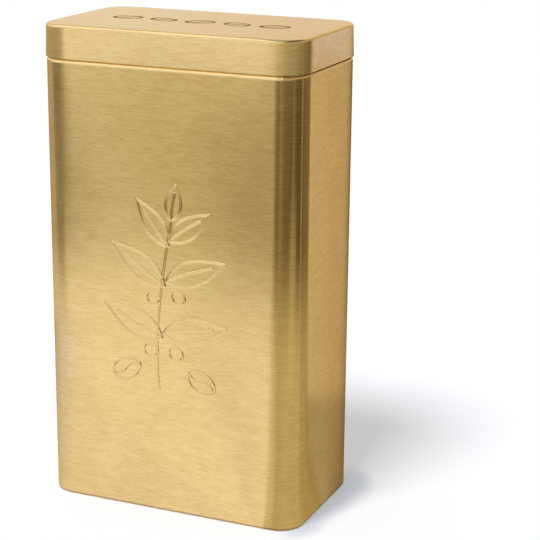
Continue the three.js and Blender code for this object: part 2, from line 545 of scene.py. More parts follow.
def tilted(centre, x, y, tilt):
    """Points about a centre, turned by so many degrees."""
    turn = math.radians(tilt)
    across = centre[0] + x * math.cos(turn) - y * math.sin(turn)
    up = centre[1] + x * math.sin(turn) + y * math.cos(turn)
    return np.stack((across, up), axis=1)


def oval(centre, long_half, short_half, tilt, count=28):
    """A closed oval with its long axis tilted by so many degrees."""
    angle = np.linspace(0, 2 * math.pi, count + 1)
    return tilted(centre, long_half * np.cos(angle), short_half * np.sin(angle), tilt)


def bean(centre, long_half, tilt, count=15):
    """An oval with the winding crease of a coffee bean."""
    share = np.linspace(-CREASE_LENGTH, CREASE_LENGTH, count)
    swing = CREASE_SWING * long_half * np.sin(math.pi * share)
    crease = tilted(centre, long_half * share, swing, tilt)
    return [oval(centre, long_half, BEAN_WIDTH * long_half, tilt), crease]


SPRIG = [
    bowed((-3, -41), (2.5, 27), 2.5, count=24),
    *leaf((-1.6, -20), (-26, -9), 5.2),
    *leaf((-1.2, -18), (25.5, -13), 5.0),
    *leaf((-0.4, 1), (-23, 16), 4.8),
    *leaf((0.2, 3), (25, 12.5), 4.8),
    *leaf((1.2, 17), (-12, 34), 4.0),
    *leaf((1.6, 19), (18.5, 31), 4.0),
    *leaf((2.5, 27), (4.5, 41), 3.2),
    oval((-6.4, -25.6), 2.9, 2.6, 20),
    oval((4.2, -26.0), 2.9, 2.6, -20),
    oval((-5.2, -4.6), 2.7, 2.4, 20),
    oval((5.4, -3.6), 2.7, 2.4, -20),
    *bean((-17, -34.5), 6.2, 24),
    *bean((15, -36), 6.2, -32),
]


def closeness(points, strokes, reach):
    """1 for points on a stroke, easing to 0 for those at `reach` or farther."""
    nearest = np.full(len(points), np.inf)
    for stroke in strokes:
        for start, end in zip(stroke[:-1], stroke[1:]):
            along = end - start
            share = np.clip((points - start) @ along / (along @ along), 0, 1)
            gap = points - start - share[:, None] * along
            nearest = np.minimum(nearest, np.einsum("ij,ij->i", gap, gap))
    return np.clip(1 - nearest / reach**2, 0, 1) ** 2


print("strokes in the sprig:", len(SPRIG))

# %% [markdown]
# ## The wall
#
# One sheet is rolled into a sleeve, turned under at the foot and rolled in at the shoulder. The
# shoulder leans in gently at the front and back and is bent tighter on the narrow sides. The press
# bends each corner in a few strokes, so a corner is a fan of narrow flats with faint bend lines
# between them, which show as upright bands in the reflection. A lock seam closes the sleeve down
# the middle of the back and shows outside as a hairline groove.

# %% The wall's walk
BEND_LINES = (16, 38, 52, 70)
FLATNESS = 0.4
RELIEF_STEP = 0.25 * MM
SPRIG_HALF_WIDTH = 28 * MM
SPRIG_HALF_HEIGHT = 43 * MM
SEAM_HALF_GROOVE = 0.22 * MM
SEAM_GROOVE_DEPTH = 0.15 * MM
SEAM_SHARES = (0.4, 1.0, 1.6)

relief_count = round(2 * SPRIG_HALF_WIDTH / RELIEF_STEP)
relief_places = np.linspace(-SPRIG_HALF_WIDTH, SPRIG_HALF_WIDTH, relief_count + 1).tolist()
seam_places = [sign * share * SEAM_HALF_GROOVE for sign in (-1, 1) for share in SEAM_SHARES]
pressed_corner = corner_bend(BEND_LINES, FLATNESS)
wall_walk = walk_round(pressed_corner, {"front": relief_places, "back": seam_places})
print("places round the wall:", len(wall_walk[0]))

# %% The wall's profile
FOOT_FLANGE = 3 * MM
FOOT_BEND = 0.8 * MM
NECK_INSET = 0.95 * MM
SHOULDER_FIT = 0.05 * MM
SHOULDER_POINTS = 20
FRONT_LEANS = ((0.0, 0), (0.5, 26), (1.4, 32), (1.82, 90))
SIDE_LEANS = ((0.0, 0), (0.3, 2), (0.6, 30), (1.2, 90))

shoulder_reach = NECK_INSET - SHOULDER_FIT
foot_radius = FOOT_BEND + SHEET
relief_rows = np.arange(
    SPRIG_MIDDLE - SPRIG_HALF_HEIGHT, SPRIG_MIDDLE + SPRIG_HALF_HEIGHT, RELIEF_STEP
)


def shoulder_bend(leans, depth=0.0):
    """Points of the rolled-in shoulder, whose lean in degrees changes along the sheet.

    The lengths only count against each other, because the bend is scaled to its reach.
    """
    lengths, turns = zip(*leans)
    stations = np.linspace(0, lengths[-1], SHOULDER_POINTS)
    places, outward = follow(np.column_stack((stations, np.interp(stations, lengths, turns))))
    places = places * shoulder_reach / -places[-1, 0] - depth * outward
    return [(-x, wall_high.z + y - places[-1, 1] - depth) for x, y in places]


def wall_profile(leans):
    """The cut edge of the wall up the outside and down the inside, as two lists."""
    outside = [
        (FOOT_FLANGE, 0.0),
        *bend(foot_radius, foot_radius, foot_radius, -90, -90, steps=6),
        *[(0.0, float(height)) for height in relief_rows],
        *shoulder_bend(leans),
    ]
    inside = [
        *reversed(shoulder_bend(leans, SHEET)),
        *bend(foot_radius, foot_radius, FOOT_BEND, 180, 90, steps=6),
        (FOOT_FLANGE, SHEET),
    ]
    return held(outside, closed=False), held(inside, closed=False)


wall_outside, wall_inside = wall_profile(FRONT_LEANS)
print("points in the wall's profile:", len(wall_outside) + len(wall_inside))

# %% The wall's skin
GOLD, TIN, TOP, GROOVE_SHADE = range(4)
SIDE_POWER = 8
FACING = 0.999


def sideways(walk):
    """0 where a walk faces front or back, easing to 1 where it faces sideways."""
    return 1 - np.abs(walk[1][:, 1]) ** SIDE_POWER


side_outside, side_inside = wall_profile(SIDE_LEANS)
side_grid = carry_round(side_outside + side_inside, wall_walk)
wall_grid = carry_round(wall_outside + wall_inside, wall_walk)
wall_grid += (side_grid - wall_grid) * sideways(wall_walk)[None, :, None]

outer_rows = len(wall_outside)
is_front = wall_walk[1][:, 1] < -FACING
is_back = wall_walk[1][:, 1] > FACING
front = wall_grid[:outer_rows, is_front]
on_front = (front[..., (0, 2)].reshape(-1, 2) - (0, SPRIG_MIDDLE)) / MM
raised = closeness(on_front, SPRIG, STROKE_HALF_WIDTH / MM).reshape(front.shape[:2])
wall_grid[:outer_rows, is_front, 1] -= STROKE_HEIGHT * raised

in_groove = is_back & (np.abs(wall_walk[0][:, 0]) < 0.5 * SEAM_HALF_GROOVE)
wall_grid[:outer_rows, in_groove, 1] -= SEAM_GROOVE_DEPTH

wall_faces = strips_of(wall_grid, closed=True)
wall_face_finish = np.full(len(wall_faces), GOLD)
wall_face_finish[(outer_rows - 1) * wall_grid.shape[1] :] = TIN
wall_points = wall_grid.reshape(-1, 3)
wall = add_piece("wall", wall_points, wall_faces, (wall_gold, tin), wall_face_finish)
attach(wall, "canister")
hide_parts("body_wall")

# %% [markdown]
# ## The lid
#
# The lid is drawn from one sheet: a flat top, a rounded edge, a short skirt with a slight draft
# from the press, and a raw edge folded flat inside. Drawing leaves the foot a little higher on the
# narrow sides. The top is filled with triangles between the rounded edge and a fine grid along the
# middle, where a row of coffee beans, drawn in millimetres like the sprig, is pressed into the
# sheet in thin lines. The faces down in these grooves get a darker gold, which is painted shade.

# %% The lid's profile
LID_EDGE_RADIUS = 1.2 * MM
LID_DRAFT = 0.3 * MM
LID_HEM = 3 * MM
HEM_ROUND = 0.15 * MM
LID_SETTLE = 0.4 * MM
LID_EARING = 0.3 * MM

lid_outside = inset_of(lid_high)
lid_inside = lid_outside + SHEET
hem_inside = lid_inside + SHEET
edge_inset = lid_outside + LID_DRAFT + LID_EDGE_RADIUS
edge_height = lid_high.z - LID_EDGE_RADIUS
lid_foot = lid_low.z - LID_SETTLE
hem_flat = HEM_ROUND / SHEET

lid_inner = [
    *bend(edge_inset, edge_height, LID_EDGE_RADIUS - SHEET, 90, 90),
    (lid_inside, lid_foot + LID_HEM),
    (hem_inside, lid_foot + LID_HEM),
]
lid_outer = [
    *bend(lid_inside, lid_foot + HEM_ROUND, SHEET, 0, -180, steps=12, stretch=hem_flat),
    *bend(edge_inset, edge_height, LID_EDGE_RADIUS, 180, -90, steps=12),
    (edge_inset + HOLD, lid_high.z),
]
inner_rows = held(lid_inner, closed=False)
lid_grid = carry_round(inner_rows + held(lid_outer, closed=False), plain_walk)
near_foot = np.clip(1 - (lid_grid[..., 2] - lid_foot) / LID_HEM, 0, 1)
lid_grid[..., 2] += LID_EARING * sideways(plain_walk) * near_foot
print("points in the lid's profile:", len(lid_grid))

# %% The bean marks
BEAN_STROKE = 0.6
BEAN_REACH = 1.2
BEAN_DEPTH = 0.36 * MM
BEAN_HALF_LENGTH = 5.6
BEAN_SPACING = 15.5
BEAN_TILTS = (18, -14, 22, -20, 12)
BEAN_GRID = 0.2
FIELD_HALF_WIDTH = 39
FIELD_HALF_DEPTH = 7


def grid_stops(half):
    return np.arange(-half, half + BEAN_GRID / 2, BEAN_GRID)


beans = [
    line
    for number, tilt in enumerate(BEAN_TILTS)
    for line in bean(((number - len(BEAN_TILTS) // 2) * BEAN_SPACING, 0), BEAN_HALF_LENGTH, tilt)
]
field = np.meshgrid(grid_stops(FIELD_HALF_WIDTH), grid_stops(FIELD_HALF_DEPTH))
field_spots = np.stack(field, axis=2).reshape(-1, 2)
spots = field_spots[closeness(field_spots, beans, BEAN_REACH) > 0]
sunk = BEAN_DEPTH * closeness(spots, beans, BEAN_STROKE)
spot_points = np.column_stack((spots * MM, lid_high.z - sunk))
print("points in the bean marks:", len(spot_points))

# %% The lid's top
MERGE_DISTANCE = 1e-7

rows, columns = lid_grid.shape[:2]
rim_start = (rows - 1) * columns
flat_points = [Vector(p) for p in lid_grid[-1, :, :2]] + [Vector(p) for p in spots * MM]
rim_edges = [(i, (i + 1) % columns) for i in range(columns)]
filled = delaunay_2d_cdt(flat_points, rim_edges, [], 1, MERGE_DISTANCE)
top_triangles, sources = filled[2], filled[3]
number_of = [rim_start + source[0] for source in sources]
top_faces = [[number_of[i] for i in triangle] for triangle in top_triangles]
print("triangles in the lid's top:", len(top_faces))

# %% The lid's skin
TOP_ROWS = 4
GROOVE_SHADE_SHARE = 0.08

lid_points = np.concatenate((lid_grid.reshape(-1, 3), spot_points))
lid_strips = strips_of(lid_grid, closed=False)
ceiling = end_faces(lid_grid)[0]
lid_faces = lid_strips + [ceiling] + top_faces

lid_face_finish = np.full(len(lid_faces), GOLD)
lid_face_finish[: (len(inner_rows) - 1) * columns] = TIN
lid_face_finish[len(lid_strips) - TOP_ROWS * columns :] = TOP
lid_face_finish[len(lid_strips)] = TIN
top_heights = lid_points[:, 2][np.array(top_faces)].mean(axis=1)
# Faces sunk into the bean grooves take the darker gold, a painted shade.
in_shaded_groove = top_heights < lid_high.z - GROOVE_SHADE_SHARE * BEAN_DEPTH
lid_face_finish[len(lid_strips) + 1 :][in_shaded_groove] = GROOVE_SHADE
lid_finishes = (wall_gold, tin, lid_top_gold, groove_shade_gold)
lid = add_piece("lid", lid_points, lid_faces, lid_finishes, lid_face_finish)
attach(lid, "lid")
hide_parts("lid_cap")

# %% [markdown]
# ## The liner
#
# A foam pad under the lid closes on the collar's rim. Use leaves a shallow track where the crown of
# the rim presses, all the way round. The track lies so close to the pad's cut edge that it runs out
# over it.

# %% The liner
RIM_RADIUS = 1.2 * MM
TRACK_HALF_WIDTH = 0.9 * MM
TRACK_DEPTH = 0.25 * MM
TRACK_POINTS = 13
CUT_ROUND = 0.2 * MM

curl_inset = NECK_INSET + RIM_RADIUS
cut_inset = inset_of(liner_high) + CUT_ROUND
track = [
    (curl_inset - TRACK_HALF_WIDTH * share, liner_low.z + TRACK_DEPTH * (1 - share**2) ** 2)
    for share in np.linspace(-1, (curl_inset - cut_inset) / TRACK_HALF_WIDTH, TRACK_POINTS)
]
liner_profile = [
    *track[:-1],
    *bend(cut_inset, track[-1][1] + CUT_ROUND, CUT_ROUND, -90, -90, steps=4),
    *bend(cut_inset, liner_high.z - CUT_ROUND, CUT_ROUND, 180, -90, steps=4),
]
liner_grid = carry_round(liner_profile, plain_walk)
liner_faces = strips_of(liner_grid, closed=False) + end_faces(liner_grid)
liner = add_piece("liner", liner_grid.reshape(-1, 3), liner_faces, (foam,))
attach(liner, "lid")
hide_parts("lid_liner")

# %% [markdown]
# ## The collar
#
# A stepped ring is fixed inside the mouth: a skirt lies against the wall, a step brings it in under
# the shoulder, and a neck carries the lid. The mouth ends in a curled rim, which is safe to touch
# and stiff. Each change of direction is eased, because a rolled sheet has no sharp folds.

# %% The collar
COLLAR_STEP = 1 * MM
RIM_DROP = 0.8 * MM
STEP_GAP = 0.2 * MM

skirt_inset = inset_of(collar_high)
step_top = wall_high.z - shoulder_reach - STEP_GAP
step_bottom = step_top - COLLAR_STEP
curl_height = collar_high.z - RIM_RADIUS
curl_end = NECK_INSET + 2 * RIM_RADIUS


def eased_step(inset_low, low, inset_high, high, count=8):
    """A soft S between two insets, going up or down."""
    shares = np.linspace(0, 1, count + 1)
    eased = 3 * shares**2 - 2 * shares**3
    insets = inset_low + (inset_high - inset_low) * eased
    return list(zip(insets, low + (high - low) * shares))


collar_profile = [
    (skirt_inset, collar_low.z),
    *eased_step(skirt_inset, step_bottom, NECK_INSET, step_top),
    *bend(curl_inset, curl_height, RIM_RADIUS, 180, -180, steps=16),
    (curl_end, curl_height - RIM_DROP),
    (curl_end - SHEET, curl_height - RIM_DROP),
    *bend(curl_inset, curl_height, RIM_RADIUS - SHEET, 0, 180, steps=16),
    *eased_step(NECK_INSET + SHEET, step_top, skirt_inset + SHEET, step_bottom),
    (skirt_inset + SHEET, collar_low.z),
]
collar_grid = carry_round(held(collar_profile, closed=True), plain_walk)
collar_faces = strips_of(collar_grid, closed=True)
collar = add_piece("collar", collar_grid.reshape(-1, 3), collar_faces, (tin,))
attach(collar, "canister")
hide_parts("neck_collar")

# %% [markdown]
# ## The base and its seal
#
# The bottom is a shallow tray with an upright rim and a raised middle panel, which stiffens it. It
# stands on the wall's turned-in foot, bedded on a thin ring of compound that keeps the tin tight.

# %% The base
BASE_BEND = 0.5 * MM
BASE_FOOT = 2.4 * MM
PANEL_RISE = 2 * MM
PANEL_SLOPE = 1.2 * MM

base_outside = inset_of(base_high)
heel_radius = BASE_BEND + SHEET
heel_inset = base_outside + heel_radius
heel_height = base_low.z + heel_radius
foot_end = base_outside + BASE_FOOT
panel_edge = foot_end + PANEL_SLOPE
panel_underside = base_low.z + PANEL_RISE

base_profile = [
    (panel_edge + HOLD, panel_underside),
    *eased_step(panel_edge, panel_underside, foot_end, base_low.z),
    *bend(heel_inset, heel_height, heel_radius, -90, -90, steps=6),
    (base_outside, base_high.z),
    (base_outside + SHEET, base_high.z),
    *bend(heel_inset, heel_height, BASE_BEND, 180, 90, steps=6),
    *eased_step(foot_end, base_low.z + SHEET, panel_edge, panel_underside + SHEET),
    (panel_edge + HOLD, panel_underside + SHEET),
]
base_grid = carry_round(held(base_profile, closed=False), plain_walk)
base_faces = strips_of(base_grid, closed=False) + end_faces(base_grid)
base = add_piece("base", base_grid.reshape(-1, 3), base_faces, (tin,))
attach(base, "canister")
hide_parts("base_panel")

# %% The seal
SEAL_WIDTH = 1.8 * MM
SEAL_ROUND = 0.1 * MM

seal_outside = inset_of(seal_high)
outer_round = seal_outside + SEAL_ROUND
inner_round = seal_outside + SEAL_WIDTH - SEAL_ROUND
seal_profile = [
    *bend(outer_round, seal_low.z + SEAL_ROUND, SEAL_ROUND, -90, -90, steps=4),
    *bend(outer_round, seal_high.z - SEAL_ROUND, SEAL_ROUND, 180, -90, steps=4),
    *bend(inner_round, seal_high.z - SEAL_ROUND, SEAL_ROUND, 90, -90, steps=4),
    *bend(inner_round, seal_low.z + SEAL_ROUND, SEAL_ROUND, 0, -90, steps=4),
]
seal_grid = carry_round(seal_profile, plain_walk)
seal_faces = strips_of(seal_grid, closed=True)
seal = add_piece("seal", seal_grid.reshape(-1, 3), seal_faces, (compound,))
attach(seal, "canister")
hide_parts("base_seal")

# %% [markdown]
# ## The lock seam inside
#
# Where the sleeve's two edges hook into each other, the folded layers stand proud on the inside of
# the back. The piece is a flat bar with rounded edges and a step where the upper layer ends. It
# runs between the base and the collar and is hammered thin towards both ends.

# %% The lock seam
SEAM_HALF_WIDTH = 3 * MM
SEAM_FOLD = 0.8 * MM
SEAM_ROUND = 0.2 * MM
SEAM_END_GAP = 1 * MM
SEAM_BED = 0.05 * MM
SEAM_TAPER = 4 * MM
SEAM_THIN = 0.12 * MM
LAYER_INSET = 1.0 * MM
LAYER_FOOT = 0.9 * MM

seam_low = base_high.z + SEAM_END_GAP
seam_high = collar_low.z - SEAM_END_GAP
wall_inner = half_depth - SHEET
half_fold = 0.5 * SEAM_FOLD
lower_round = SEAM_HALF_WIDTH - SEAM_ROUND
upper_round = SEAM_HALF_WIDTH - LAYER_INSET - SEAM_ROUND
section = [
    (-SEAM_HALF_WIDTH, -SEAM_BED),
    (SEAM_HALF_WIDTH, -SEAM_BED),
    *bend(lower_round, half_fold - SEAM_ROUND, SEAM_ROUND, 0, 90, steps=4),
    (SEAM_HALF_WIDTH - LAYER_FOOT, half_fold),
    *bend(upper_round, SEAM_FOLD - SEAM_ROUND, SEAM_ROUND, 0, 90, steps=4),
    *bend(-lower_round, SEAM_FOLD - SEAM_ROUND, SEAM_ROUND, 90, 90, steps=4),
]
hammered = [
    (seam_low, SEAM_THIN),
    (seam_low + SEAM_TAPER, SEAM_FOLD),
    (seam_high - SEAM_TAPER, SEAM_FOLD),
    (seam_high, SEAM_THIN),
]
seam_grid = np.array(
    [
        [(x, wall_inner - depth * fold / SEAM_FOLD, height) for x, depth in section]
        for height, fold in held(hammered, closed=False)
    ]
)
seam_faces = [face[::-1] for face in strips_of(seam_grid, closed=False) + end_faces(seam_grid)]
seam = add_piece("lock_seam", seam_grid.reshape(-1, 3), seam_faces, (tin,))
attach(seam, "canister")

# %% [markdown]
# ## The studio
#
# The canister stands on a plain white floor in a white room under soft light from the front left,
# so its shadow falls to the right and behind. Metal shows what stands around it: a soft box over
# the front left, a room that is dimmer to the right and overhead, and two shade cards on the floor,
# one about each front corner. Only reflections see the soft box, the room's dimming and the cards;
# the dimming and the cards' glowing tones are painted reflections. The floor's own colour is a
# little darker along the foot on the right, a painted shadow.

# %% The room
scene = bpy.context.scene
scene.view_settings.view_transform = "Standard"

BLACK = (0, 0, 0, 1)
FULL_WHITE = (1, 1, 1, 1)
ROOM_LIGHT = 0.44
ROOM_WHITE = (0.96, 0.98, 1, 1)
RIGHT_DIM = 0.5
RIGHT_EDGE = (-0.05, 0.5)
RIGHT_TINT = (1, 0.85, 0.62, 1)
OVERHEAD_DIM = 0.45
OVERHEAD_EDGE = (0.5, 0.85)
FAR_END_SIDE = (-0.47, -0.37)
FAR_END_BACK = (0.4, 0.8)
FAR_END_TINT = (0.905, 0.865, 0.865, 1)


def ray_is(nodes, kind):
    """1 for rays of this kind, 0 for the others."""
    return nodes.add("ShaderNodeLightPath", output=f"Is {kind} Ray")


def background_seen(nodes):
    """1 for the rays that see the background itself, 0 for those that gather light."""
    seen = ray_is(nodes, "Camera") + ray_is(nodes, "Glossy")
    return nodes.maths("ADD", seen, ray_is(nodes, "Transmission"), clamp=True)


room = bpy.data.worlds.new("white_room")
room_nodes = Nodes(room)
direction = room_nodes.add("ShaderNodeTexCoord", output="Generated")
rightwards, backwards, upwards = room_nodes.parts(direction)
reflected = ray_is(room_nodes, "Glossy")
# For reflections alone the room is dimmed and tinted to the right and overhead, and tinted at the
# far end: a painted reflection.
right_part = room_nodes.steps(rightwards, *RIGHT_EDGE) * reflected
overhead = room_nodes.steps(upwards, *OVERHEAD_EDGE) * reflected
far_end = room_nodes.steps(rightwards, *FAR_END_SIDE) * room_nodes.steps(backwards, *FAR_END_BACK)
light = ROOM_LIGHT + (1 - ROOM_LIGHT) * background_seen(room_nodes)
dimmed = light - RIGHT_DIM * right_part - OVERHEAD_DIM * overhead
room_colour = room_nodes.mix(ray_is(room_nodes, "Camera"), ROOM_WHITE, FULL_WHITE)
room_colour = room_nodes.mix(far_end * reflected, room_colour, FAR_END_TINT)
room_colour = room_nodes.mix(right_part, room_colour, RIGHT_TINT)
room_colour = room_nodes.mix(dimmed, BLACK, room_colour)
sky = room_nodes.add("ShaderNodeBackground", {}, {"Color": room_colour, "Strength": 1.0})
room_nodes.add("ShaderNodeOutputWorld", {}, {"Surface": sky})
scene.world = room
print("room:", room.name)

# %% The floor
FLOOR_HALF = 6.0
FAR_WHITE_EDGE = (0.13, 0.33)
PAPER = (0.79, 0.79, 0.815, 1)
# The shaded paper colour is a painted shadow along the foot on the right.
PAPER_SHADED = (0.45, 0.49, 0.56, 1)
PAPER_GLOW = (0.92, 0.95, 1, 1)
PAPER_GLOW_STRENGTH = 0.27
SHADE_WIDTH = 11 * MM
SHADE_SPREAD = 5 * MM
SHADE_SIDE = (44 * MM, 58 * MM)


def rectangle(left, right, front, back):
    """The corners of a level rectangle."""
    return [(left, front, 0), (right, front, 0), (right, back, 0), (left, back, 0)]


def add_sheet(name, outline, finish):
    """A level sheet of the studio."""
    mesh = bpy.data.meshes.new(name)
    mesh.from_pydata(outline, [], [range(len(outline))])
    mesh.materials.append(finish)
    sheet = bpy.data.objects.new(name, mesh)
    scene.collection.objects.link(sheet)
    return sheet


floor_paper, paper_nodes, paper_place = new_finish("floor_paper")
floor_outline = rectangle(-FLOOR_HALF, FLOOR_HALF, -FLOOR_HALF, FLOOR_HALF)
floor = add_sheet("floor", floor_outline, floor_paper)

floor_x, floor_y, _ = paper_nodes.parts(paper_place)
from_middle = paper_nodes.distance(floor_x, floor_y)
far_white = paper_nodes.steps(from_middle, *FAR_WHITE_EDGE) * background_seen(paper_nodes)
past_side = paper_nodes.beyond(floor_x, -flat_half_width, flat_half_width)
past_front = paper_nodes.beyond(floor_y, -flat_half_depth, flat_half_depth)
from_wall = paper_nodes.distance(past_side, past_front) - CORNER_RADIUS
# Along the foot on the right the paper's colour darkens to a bluish grey: a painted shadow.
spread = paper_nodes.steps(floor_y, -half_depth, half_depth, 0.0, SHADE_SPREAD)
at_foot = paper_nodes.steps(from_wall - spread, 0.0, SHADE_WIDTH, 1.0, 0.0)
shade = at_foot * paper_nodes.steps(floor_x, *SHADE_SIDE)
paper_sockets = {
    "Base Color": paper_nodes.mix(shade, PAPER, PAPER_SHADED),
    "Roughness": 1.0,
    "Specular IOR Level": 0.0,
    "Emission Color": PAPER_GLOW,
    "Emission Strength": PAPER_GLOW_STRENGTH,
}
paper = paper_nodes.principled(paper_sockets)
paper_nodes.surface(paper_nodes.blend(far_white, paper, paper_nodes.glow(FULL_WHITE)))
print("floor:", floor.name)

# %% [markdown]
# ## The shade cards
#
# The cards stand in for the flags and furniture of a studio. A card's tones are listed by bearing:
# degrees to the right of straight ahead, the tone and its tint. The right card has four zones, from
# near to far, and each eases into the next. The tones were set by comparing the picture with the
# photograph, one band of reflection at a time.

# %% The tones of the shade
WHITE = (1, 0.97, 0.98)
PALE = (1, 0.96, 0.88)
STRAW = (1, 0.97, 0.79)
OLIVE = (1, 0.93, 0.67)
ROSE = (1, 0.86, 0.70)
TAN = (1, 0.87, 0.55)
BROWN = (1, 0.80, 0.43)
COOL = (1, 0.98, 1.4)
SAND = (1, 0.89, 0.74)
MIST = (1, 0.98, 1.06)

NEAR_TO_MIDDLE = (0.19, 0.44)
MIDDLE_TO_FAR = (0.6, 1.2)
FAR_TO_BEYOND = (1.2, 1.5)
NEAR_TONES = (
    (-180, 0.40, TAN), (-162, 0.62, TAN), (-134, 0.86, PALE), (-90, 0.92, PALE),
    (-53, 0.96, PALE), (-46, 1.01, PALE), (-35, 1.01, PALE), (-32, 0.95, PALE), (-29, 0.91, PALE),
    (-26, 0.95, PALE), (-19, 0.96, PALE), (-15, 0.73, OLIVE), (-9, 0.67, OLIVE), (4, 0.57, TAN),
    (20, 0.58, TAN), (40, 0.62, TAN), (75, 0.59, TAN), (100, 0.60, TAN), (112, 0.53, TAN),
    (130, 0.48, TAN), (151.3, 0.50, TAN), (154.3, 0.68, SAND), (158, 0.67, SAND),
    (159.5, 0.58, ROSE), (163, 0.46, ROSE), (168, 0.38, TAN), (180, 0.38, TAN),
)
CORNER_TONES = (
    (-13.5, 0.22, BROWN), (-1, 0.19, BROWN), (4, 0.28, BROWN), (18, 0.26, BROWN),
    (28, 0.17, BROWN), (59, 0.13, BROWN), (64, 0.20, TAN), (69, 0.19, TAN), (74, 0.11, BROWN),
    (101, 0.11, BROWN), (106, 0.34, TAN), (111, 0.14, BROWN), (150.3, 0.24, BROWN),
)
REAR_TONES = (
    (158, 0.67, ROSE), (160, 0.57, ROSE), (163, 0.48, ROSE), (166, 0.37, ROSE),
    (171, 0.24, BROWN),
)
LEFT_REAR_TONES = ((-165, 0.27, BROWN), (-150, 0.5, ROSE), (-92, 0.56, ROSE))
MIDDLE_TONES = (
    *LEFT_REAR_TONES, (-76, 0.42, STRAW), (-60, 0.30, OLIVE), (-45, 0.29, OLIVE),
    (-39, 0.40, OLIVE), (-36.5, 0.51, STRAW), (-34, 0.66, STRAW), (-29, 0.60, OLIVE),
    (-24, 0.46, ROSE), (-17, 0.46, OLIVE), *CORNER_TONES, (153.3, 0.67, ROSE), *REAR_TONES,
)
FAR_TONES = (
    *LEFT_REAR_TONES, (-76, 0.40, STRAW), (-60, 0.24, OLIVE), (-45, 0.25, OLIVE),
    (-39, 0.42, OLIVE), (-36.5, 0.57, STRAW), (-34, 0.74, STRAW), (-29, 0.68, OLIVE),
    (-24.3, 0.74, OLIVE), (-23.2, 0.66, OLIVE), (-17, 0.60, OLIVE), *CORNER_TONES,
    (152.8, 0.68, ROSE), *REAR_TONES,
)
BEYOND_TONES = (
    (-180, 0.5, ROSE), (-130, 0.6, PALE), (-90, 0.5, OLIVE), (-58, 0.47, OLIVE),
    (-39, 0.47, OLIVE), (-36.5, 0.58, OLIVE), (-34, 1.06, WHITE), (-28.5, 0.92, WHITE),
    (-23, 0.99, WHITE), (-16, 0.80, PALE), (-6, 0.72, OLIVE), (20, 0.56, OLIVE),
    (60, 0.44, OLIVE), (110, 0.31, TAN), (152.3, 0.21, TAN), (156, 0.76, COOL), (160, 0.76, COOL),
    (165, 0.64, SAND), (172, 0.44, ROSE), (180, 0.44, ROSE),
)
LEFT_TONES = (
    (-180, 0.6, MIST, 0), (-160, 0.60, MIST, 1), (-116, 0.62, MIST, 1), (-78, 0.70, MIST, 1),
    (-41, 0.81, MIST, 1), (-31, 0.88, MIST, 0.8), (-24, 0.92, MIST, 0), (180, 0.7, MIST, 0),
)


def bearing_stops(tones):
    """Ramp stops from bearings in degrees, tones and tints.

    A fourth number says how much the card covers the floor, where it doesn't cover it all.
    """
    return [
        ((bearing + 180) / 360, (*(tone * part for part in tint), *(cover or [1])))
        for bearing, tone, tint, *cover in tones
    ]


print("tones near the canister:", len(NEAR_TONES))

# %% The shade cards
CARD_POINTS = 96


def only_reflected(prop):
    """Make something in the studio visible to reflections alone."""
    for ray in ("camera", "diffuse", "shadow", "transmission"):
        setattr(prop, f"visible_{ray}", False)


class ShadeCard:
    """A round card on the floor about a front corner of the canister."""

    def __init__(self, name, side, reach, lift):
        finish, self.nodes, place = new_finish(name)
        turns = np.linspace(0, 2 * math.pi, CARD_POINTS, endpoint=False)
        outline = [(reach * math.cos(turn), reach * math.sin(turn), 0) for turn in turns]
        card = add_sheet(name, outline, finish)
        card.location = (side * flat_half_width, -flat_half_depth, lift)
        only_reflected(card)

        left_end, right_end = -(1 + side) * flat_half_width, (1 - side) * flat_half_width
        x, y, _ = self.nodes.parts(place)
        beside = self.nodes.beyond(x, left_end, right_end)
        before = self.nodes.beyond(y, 0.0, 2 * flat_half_depth)
        self.radius = self.nodes.distance(beside, y)
        self.from_wall = self.nodes.distance(beside, before) - CORNER_RADIUS
        self.bearing = self.nodes.maths("ARCTAN2", x, 0 - y)
        self.share = 0.5 + self.bearing * (0.5 / math.pi)
        print(f"{name}: reaches {reach} m")

    def zone(self, tones, output="Color"):
        """The colour of one zone by bearing, or its cover."""
        settings = {"stops": bearing_stops(tones)}
        return self.nodes.add("ShaderNodeValToRGB", settings, {0: self.share}, output)

    def show(self, colour, cover):
        """Let the card glow in its colour where it covers the floor."""
        clear = self.nodes.add("ShaderNodeBsdfTransparent")
        self.nodes.surface(self.nodes.blend(cover, clear, self.nodes.glow(colour)))


def bearings(low, high):
    return math.radians(low), math.radians(high)


# %% The card about the right corner
PULL = 0.19
PULL_RISE, PULL_FALL = bearings(-52, -42), bearings(-38, -25)
STRIP_SHARE = 0.2
STRIP_RISE, STRIP_FALL = bearings(36, 56), bearings(74, 96)
STRIP_START, STRIP_END = (0.13, 0.24), (0.42, 0.6)
# These numbers darken the card's glow beside and along the foot: painted shadow seen in
# reflections.
BEHIND_SHADOW_DIM = 0.3
BEHIND_EDGE = bearings(143, 157)
BESIDE_EDGE = (0.13, 0.17)
CONTACT_SHADOW_EDGE = (0.2 * MM, 1.6 * MM)
CONTACT_SHADOW_TONE = 0.55

# The card glows in tones by bearing and distance, seen only in reflections: a painted reflection.
right_card = ShadeCard("right_shade", 1, reach=4.5, lift=0.1 * MM)
right_nodes, radius, bearing = right_card.nodes, right_card.radius, right_card.bearing
near_radius = radius * (1 - PULL * right_nodes.band(bearing, PULL_RISE, PULL_FALL))
right_colour = right_card.zone(NEAR_TONES)
for tones, distance, border in (
    (MIDDLE_TONES, near_radius, NEAR_TO_MIDDLE),
    (FAR_TONES, radius, MIDDLE_TO_FAR),
    (BEYOND_TONES, radius, FAR_TO_BEYOND),
):
    past = right_nodes.steps(distance, *border)
    right_colour = right_nodes.mix(past, right_colour, right_card.zone(tones))

